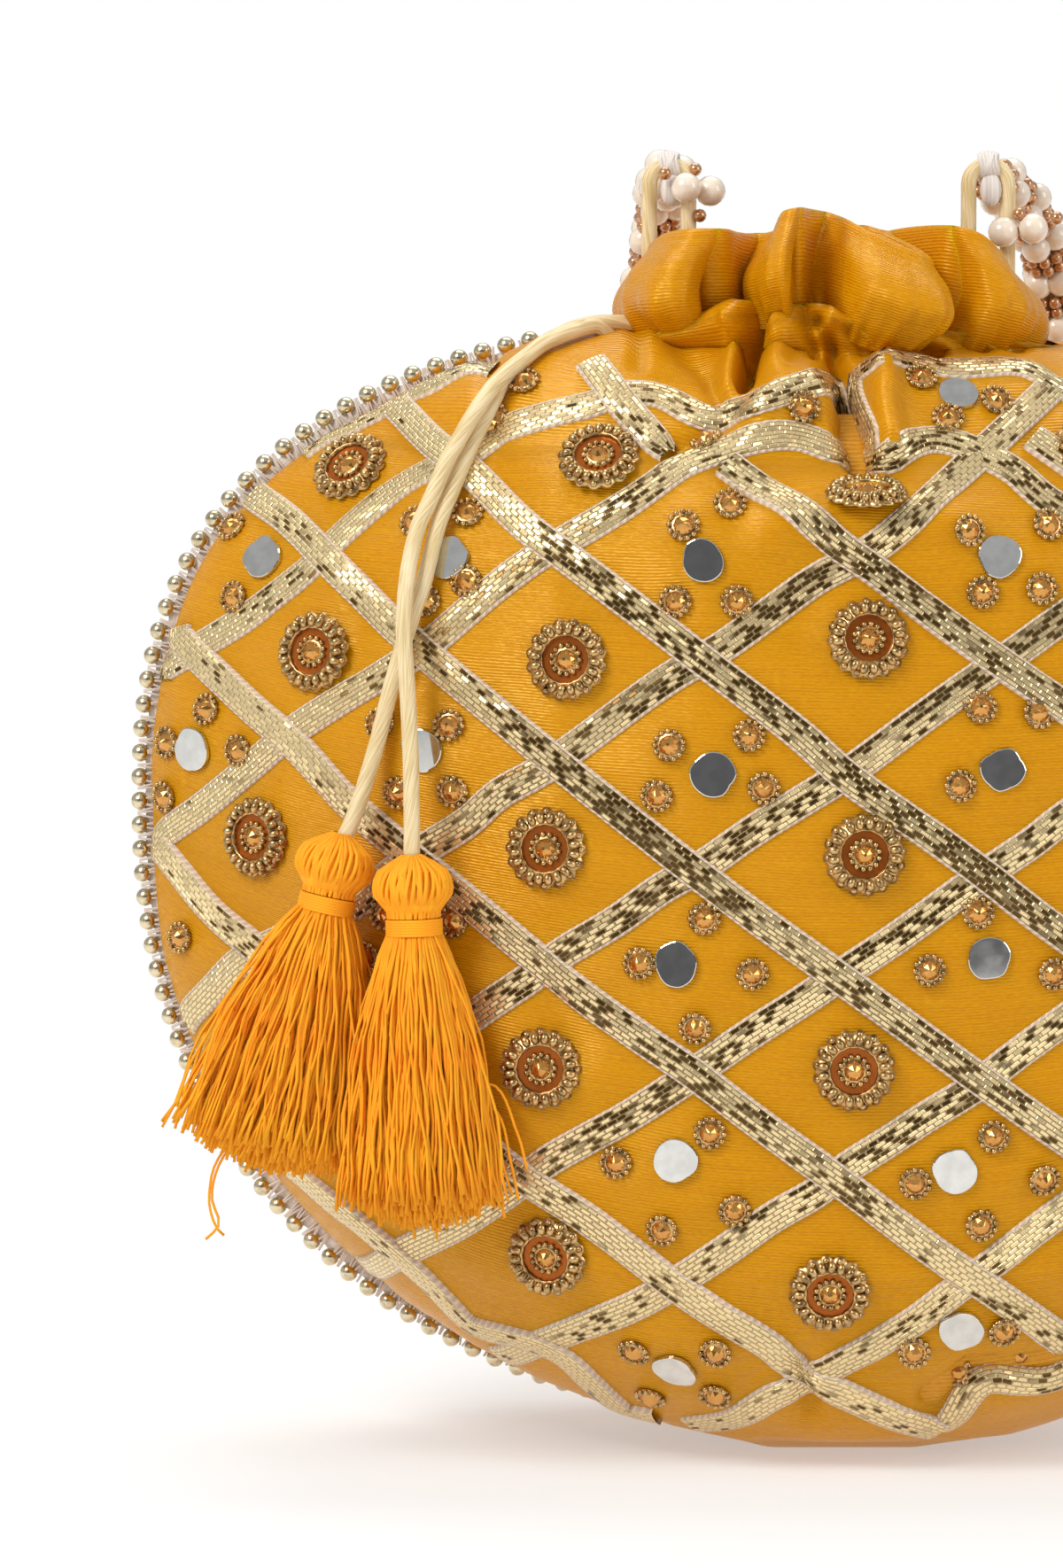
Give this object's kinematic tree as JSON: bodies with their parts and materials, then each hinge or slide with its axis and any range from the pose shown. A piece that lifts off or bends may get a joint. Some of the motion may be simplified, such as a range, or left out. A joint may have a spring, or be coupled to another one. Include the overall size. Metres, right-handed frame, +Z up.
{
  "type": "potli bag",
  "caption": "Gathered satin drawstring pouch with ribbon lattice, mirror and flower trim, beaded seam, tassels and a beaded rope handle.",
  "frame": {"origin": "middle of the foot: centre of the bounding box in X and Y at the lowest point, measured without the free drawstring ends and tassels", "axes": "+X along the width of the pouch, the decorated front faces -Y, +Z up"},
  "size_m": [0.2432, 0.1192, 0.2215],
  "materials": {
    "satin": "satin weave with a soft sheen",
    "lining": "plain matte weave",
    "ribbon": "metallic gold ribbon",
    "gold_balls": "polished champagne gold",
    "flower_gold": "antique gold plating",
    "mirror_glass": "silvered glass",
    "cream_cord": "satin cord",
    "tassel_thread": "loose cotton thread",
    "pearl": "pearl beads and copper seed beads",
    "white_thread": "wound thread"
  },
  "bodies": {
    "bag": {"front_panel": "satin", "back_panel": "satin", "lining": "lining", "frill": "satin", "ribbon_lattice": "ribbon", "edge_lace": "gold_balls", "flower_01": "flower_gold", "flower_02": "flower_gold", "flower_03": "flower_gold", "flower_04": "flower_gold", "flower_05": "flower_gold", "flower_06": "flower_gold", "flower_07": "flower_gold", "flower_08": "flower_gold", "flower_09": "flower_gold", "flower_10": "flower_gold", "flower_11": "flower_gold", "flower_12": "flower_gold", "flower_13": "flower_gold", "flower_14": "flower_gold", "flower_15": "flower_gold", "flower_16": "flower_gold", "flower_17": "flower_gold", "flower_18": "flower_gold", "flower_19": "flower_gold", "flower_20": "flower_gold", "flower_21": "flower_gold", "mirror_01": "mirror_glass", "mirror_02": "mirror_glass", "mirror_03": "mirror_glass", "mirror_04": "mirror_glass", "mirror_05": "mirror_glass", "mirror_06": "mirror_glass", "mirror_07": "mirror_glass", "mirror_08": "mirror_glass", "mirror_09": "mirror_glass", "mirror_10": "mirror_glass", "mirror_11": "mirror_glass", "mirror_12": "mirror_glass", "mirror_13": "mirror_glass", "mirror_14": "mirror_glass", "mirror_15": "mirror_glass", "mirror_16": "mirror_glass", "mirror_17": "mirror_glass", "mirror_18": "mirror_glass", "mirror_19": "mirror_glass", "mirror_20": "mirror_glass", "mirror_21": "mirror_glass", "drawstring_loop": "cream_cord", "drawstring_left": "cream_cord", "drawstring_right": "cream_cord", "tassel_left": "tassel_thread", "tassel_right": "tassel_thread", "handle_loop_left": "cream_cord", "handle_loop_right": "cream_cord"},
    "handle": {"handle_rope": "pearl", "handle_eyelet_left": "white_thread", "handle_eyelet_right": "white_thread"}
  },
  "joints": [
    {"name": "handle_swing", "type": "hinge", "parent": "bag", "child": "handle", "pos_m": [-0.003, -0.00012, 0.216], "axis": [1, 0, 0], "range_deg": [0, 150]}
  ]
}
